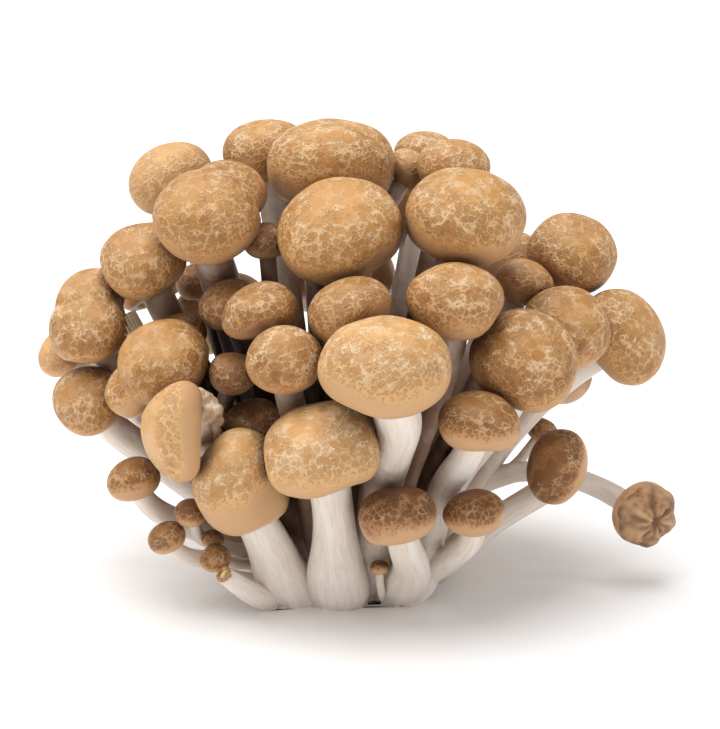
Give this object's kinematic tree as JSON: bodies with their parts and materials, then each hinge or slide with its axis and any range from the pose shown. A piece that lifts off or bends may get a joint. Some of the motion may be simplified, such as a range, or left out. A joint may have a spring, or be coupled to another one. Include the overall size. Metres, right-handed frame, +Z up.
{
  "type": "beech mushroom cluster",
  "caption": "Cluster of brown beech mushrooms: rounded tan caps with a pale net pattern on curved white stems that share one fleshy base, standing upright on its cut underside.",
  "frame": {"origin": "middle of the cut underside of the shared base, at table height", "axes": "+Z up, away from the table; +X to the right as seen from the front; the front faces -Y"},
  "size_m": [0.1283, 0.115, 0.0908],
  "materials": {
    "flesh": "matte",
    "cap_pale": "satin",
    "cap_tan": "satin",
    "cap_brown": "satin"
  },
  "bodies": {
    "root": {"base_and_stems": "flesh", "cap_centre_left": "cap_brown", "cap_centre_left_rear": "cap_brown", "cap_centre_low": "cap_brown", "cap_centre_shaded": "cap_tan", "cap_front_broad": "cap_pale", "cap_front_brown": "cap_brown", "cap_front_dark": "cap_brown", "cap_front_leaning": "cap_pale", "cap_front_low": "cap_pale", "cap_inner_left": "cap_brown", "cap_inner_upper": "cap_brown", "cap_left_broad": "cap_tan", "cap_left_front": "cap_tan", "cap_left_hidden": "cap_brown", "cap_left_high": "cap_tan", "cap_left_inner": "cap_brown", "cap_left_low": "cap_tan", "cap_left_rim": "cap_pale", "cap_left_sideways": "cap_pale", "cap_left_small": "cap_brown", "cap_rear_centre": "cap_tan", "cap_rear_high_centre": "cap_pale", "cap_rear_high_left": "cap_tan", "cap_rear_high_right": "cap_tan", "cap_rear_left": "cap_pale", "cap_rear_left_shoulder": "cap_tan", "cap_rear_left_side": "cap_tan", "cap_rear_low_left": "cap_brown", "cap_rear_low_right": "cap_brown", "cap_rear_low_side": "cap_brown", "cap_rear_right": "cap_tan", "cap_rear_right_shoulder": "cap_tan", "cap_rear_right_side": "cap_brown", "cap_right_broad": "cap_tan", "cap_right_centre": "cap_tan", "cap_right_high": "cap_tan", "cap_right_low": "cap_brown", "cap_right_lowest": "cap_brown", "cap_right_outer": "cap_tan", "cap_right_rear": "cap_tan", "cap_right_shaded": "cap_pale", "cap_right_small": "cap_brown", "cap_right_tipped": "cap_brown", "cap_stray_lobed": "cap_brown", "cap_top": "cap_tan", "cap_top_left": "cap_pale", "cap_top_rear_left": "cap_tan", "cap_top_rear_right": "cap_tan", "cap_top_right": "cap_tan", "cap_top_wedged": "cap_pale", "cap_upper_front": "cap_pale", "cap_upper_left": "cap_tan", "cap_upper_right": "cap_tan", "pin_front": "cap_brown", "pin_left_inner": "cap_brown", "pin_left_lower": "cap_brown", "pin_left_outer": "cap_brown", "pin_left_upper": "cap_brown", "pin_right": "cap_brown"}
  },
  "joints": []
}
